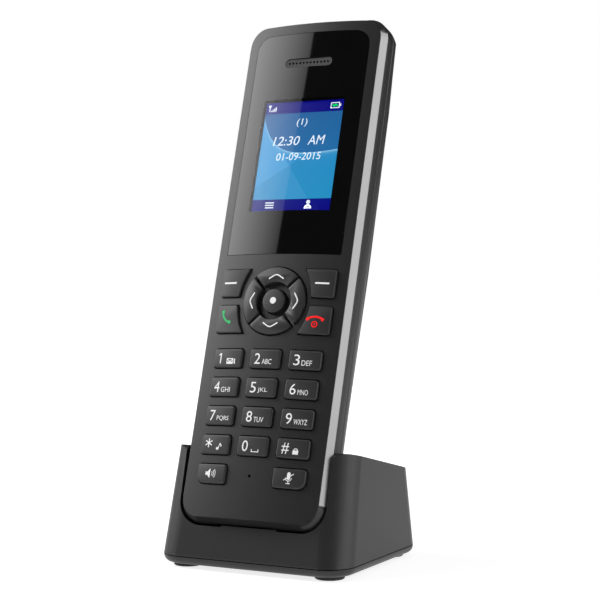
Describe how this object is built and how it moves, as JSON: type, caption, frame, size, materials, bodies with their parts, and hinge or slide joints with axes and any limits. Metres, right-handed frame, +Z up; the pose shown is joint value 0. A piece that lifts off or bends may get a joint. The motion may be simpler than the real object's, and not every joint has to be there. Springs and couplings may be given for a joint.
{
  "type": "cordless phone with base",
  "caption": "Cordless phone handset with a colour display, navigation ring and keypad, leaning in a small desk charging cradle.",
  "frame": {"origin": "on the desk plane under the middle of the bounding box of cradle and docked handset", "axes": "+Z up, the keypad faces -Y, +X to the right as seen from the front"},
  "size_m": [0.0684, 0.0694, 0.1792],
  "materials": {
    "cradle_plastic": "fine matte texture, near black",
    "cradle_base_plastic": "smooth satin, near black",
    "foot_rubber": "plain rubber",
    "screw_steel": "zinc plated",
    "circuit_board": "green solder mask",
    "nickel": "nickel plated",
    "inner_plastic": "plain moulded",
    "gold_contact": "gold plated",
    "housing_plastic": "charcoal with a fine speckle",
    "lens_gloss": "clear window in polished black",
    "silver_trim": "satin silver paint",
    "grille_plastic": "dark grey",
    "display_glass": "lit colour display",
    "silicone": "translucent silicone",
    "film": "polyester film",
    "cell_wrap": "shrink wrapped cell",
    "key_plastic": "soft matte keys with white legends"
  },
  "bodies": {
    "cradle": {"cradle_upper_shell": "cradle_plastic", "cradle_lower_shell": "cradle_base_plastic", "cradle_feet": "foot_rubber", "cradle_screws": "screw_steel", "cradle_circuit_board": "circuit_board", "power_inlet": "nickel", "charge_pin_carrier": "inner_plastic"},
    "charge_pin_left": {"charge_pin_left": "gold_contact"},
    "charge_pin_right": {"charge_pin_right": "gold_contact"},
    "handset": {"front_housing": "housing_plastic", "rear_housing": "housing_plastic", "screen_lens": "lens_gloss", "side_trim_left": "silver_trim", "side_trim_right": "silver_trim", "earpiece_grille": "grille_plastic", "earpiece_speaker": "inner_plastic", "lcd_module": "display_glass", "keypad_membrane": "silicone", "dome_sheet": "film", "main_board": "circuit_board", "rf_shield": "nickel", "microphone": "nickel", "loudspeaker": "inner_plastic", "battery_cell_left": "cell_wrap", "battery_cell_right": "cell_wrap", "battery_springs": "nickel", "battery_plates": "nickel", "charge_contact_left": "gold_contact", "charge_contact_right": "gold_contact", "housing_screws": "screw_steel"},
    "battery_door": {"battery_door": "housing_plastic"},
    "soft_key_left": {"soft_key_left": "key_plastic"},
    "soft_key_right": {"soft_key_right": "key_plastic"},
    "talk_key": {"talk_key": "key_plastic"},
    "end_key": {"end_key": "key_plastic"},
    "nav_up_key": {"nav_up_key": "key_plastic"},
    "nav_down_key": {"nav_down_key": "key_plastic"},
    "nav_left_key": {"nav_left_key": "key_plastic"},
    "nav_right_key": {"nav_right_key": "key_plastic"},
    "ok_key": {"ok_key": "key_plastic"},
    "key_1": {"key_1": "key_plastic"},
    "key_2": {"key_2": "key_plastic"},
    "key_3": {"key_3": "key_plastic"},
    "key_4": {"key_4": "key_plastic"},
    "key_5": {"key_5": "key_plastic"},
    "key_6": {"key_6": "key_plastic"},
    "key_7": {"key_7": "key_plastic"},
    "key_8": {"key_8": "key_plastic"},
    "key_9": {"key_9": "key_plastic"},
    "key_star": {"key_star": "key_plastic"},
    "key_0": {"key_0": "key_plastic"},
    "key_hash": {"key_hash": "key_plastic"},
    "speaker_key": {"speaker_key": "key_plastic"},
    "mute_key": {"mute_key": "key_plastic"}
  },
  "joints": [
    {"name": "handset_lift", "type": "slide", "parent": "cradle", "child": "handset", "axis": [0, 0.2924, 0.9563], "range_m": [0, 0.06]},
    {"name": "charge_pin_left_press", "type": "slide", "parent": "cradle", "child": "charge_pin_left", "axis": [0, 0.2924, 0.9563], "range_m": [-0.0008, 0], "stiffness_N_per_m": 400},
    {"name": "charge_pin_right_press", "type": "slide", "parent": "cradle", "child": "charge_pin_right", "axis": [0, 0.2924, 0.9563], "range_m": [-0.0008, 0], "stiffness_N_per_m": 400},
    {"name": "battery_door_hinge", "type": "hinge", "parent": "handset", "child": "battery_door", "pos_m": [0, -0.0024, 0.0526], "axis": [-1, 0, 0], "range_deg": [0, 80]},
    {"name": "soft_key_left_press", "type": "slide", "parent": "handset", "child": "soft_key_left", "axis": [0, 0.9563, -0.2924], "range_m": [0, 0.0005], "stiffness_N_per_m": 2000},
    {"name": "soft_key_right_press", "type": "slide", "parent": "handset", "child": "soft_key_right", "axis": [0, 0.9563, -0.2924], "range_m": [0, 0.0005], "stiffness_N_per_m": 2000},
    {"name": "talk_key_press", "type": "slide", "parent": "handset", "child": "talk_key", "axis": [0, 0.9563, -0.2924], "range_m": [0, 0.0005], "stiffness_N_per_m": 2000},
    {"name": "end_key_press", "type": "slide", "parent": "handset", "child": "end_key", "axis": [0, 0.9563, -0.2924], "range_m": [0, 0.0005], "stiffness_N_per_m": 2000},
    {"name": "nav_up_key_press", "type": "slide", "parent": "handset", "child": "nav_up_key", "axis": [0, 0.9563, -0.2924], "range_m": [0, 0.0005], "stiffness_N_per_m": 2000},
    {"name": "nav_down_key_press", "type": "slide", "parent": "handset", "child": "nav_down_key", "axis": [0, 0.9563, -0.2924], "range_m": [0, 0.0005], "stiffness_N_per_m": 2000},
    {"name": "nav_left_key_press", "type": "slide", "parent": "handset", "child": "nav_left_key", "axis": [0, 0.9563, -0.2924], "range_m": [0, 0.0005], "stiffness_N_per_m": 2000},
    {"name": "nav_right_key_press", "type": "slide", "parent": "handset", "child": "nav_right_key", "axis": [0, 0.9563, -0.2924], "range_m": [0, 0.0005], "stiffness_N_per_m": 2000},
    {"name": "ok_key_press", "type": "slide", "parent": "handset", "child": "ok_key", "axis": [0, 0.9563, -0.2924], "range_m": [0, 0.0005], "stiffness_N_per_m": 2000},
    {"name": "key_1_press", "type": "slide", "parent": "handset", "child": "key_1", "axis": [0, 0.9563, -0.2924], "range_m": [0, 0.0005], "stiffness_N_per_m": 2000},
    {"name": "key_2_press", "type": "slide", "parent": "handset", "child": "key_2", "axis": [0, 0.9563, -0.2924], "range_m": [0, 0.0005], "stiffness_N_per_m": 2000},
    {"name": "key_3_press", "type": "slide", "parent": "handset", "child": "key_3", "axis": [0, 0.9563, -0.2924], "range_m": [0, 0.0005], "stiffness_N_per_m": 2000},
    {"name": "key_4_press", "type": "slide", "parent": "handset", "child": "key_4", "axis": [0, 0.9563, -0.2924], "range_m": [0, 0.0005], "stiffness_N_per_m": 2000},
    {"name": "key_5_press", "type": "slide", "parent": "handset", "child": "key_5", "axis": [0, 0.9563, -0.2924], "range_m": [0, 0.0005], "stiffness_N_per_m": 2000},
    {"name": "key_6_press", "type": "slide", "parent": "handset", "child": "key_6", "axis": [0, 0.9563, -0.2924], "range_m": [0, 0.0005], "stiffness_N_per_m": 2000},
    {"name": "key_7_press", "type": "slide", "parent": "handset", "child": "key_7", "axis": [0, 0.9563, -0.2924], "range_m": [0, 0.0005], "stiffness_N_per_m": 2000},
    {"name": "key_8_press", "type": "slide", "parent": "handset", "child": "key_8", "axis": [0, 0.9563, -0.2924], "range_m": [0, 0.0005], "stiffness_N_per_m": 2000},
    {"name": "key_9_press", "type": "slide", "parent": "handset", "child": "key_9", "axis": [0, 0.9563, -0.2924], "range_m": [0, 0.0005], "stiffness_N_per_m": 2000},
    {"name": "key_star_press", "type": "slide", "parent": "handset", "child": "key_star", "axis": [0, 0.9563, -0.2924], "range_m": [0, 0.0005], "stiffness_N_per_m": 2000},
    {"name": "key_0_press", "type": "slide", "parent": "handset", "child": "key_0", "axis": [0, 0.9563, -0.2924], "range_m": [0, 0.0005], "stiffness_N_per_m": 2000},
    {"name": "key_hash_press", "type": "slide", "parent": "handset", "child": "key_hash", "axis": [0, 0.9563, -0.2924], "range_m": [0, 0.0005], "stiffness_N_per_m": 2000},
    {"name": "speaker_key_press", "type": "slide", "parent": "handset", "child": "speaker_key", "axis": [0, 0.9563, -0.2924], "range_m": [0, 0.0005], "stiffness_N_per_m": 2000},
    {"name": "mute_key_press", "type": "slide", "parent": "handset", "child": "mute_key", "axis": [0, 0.9563, -0.2924], "range_m": [0, 0.0005], "stiffness_N_per_m": 2000}
  ]
}
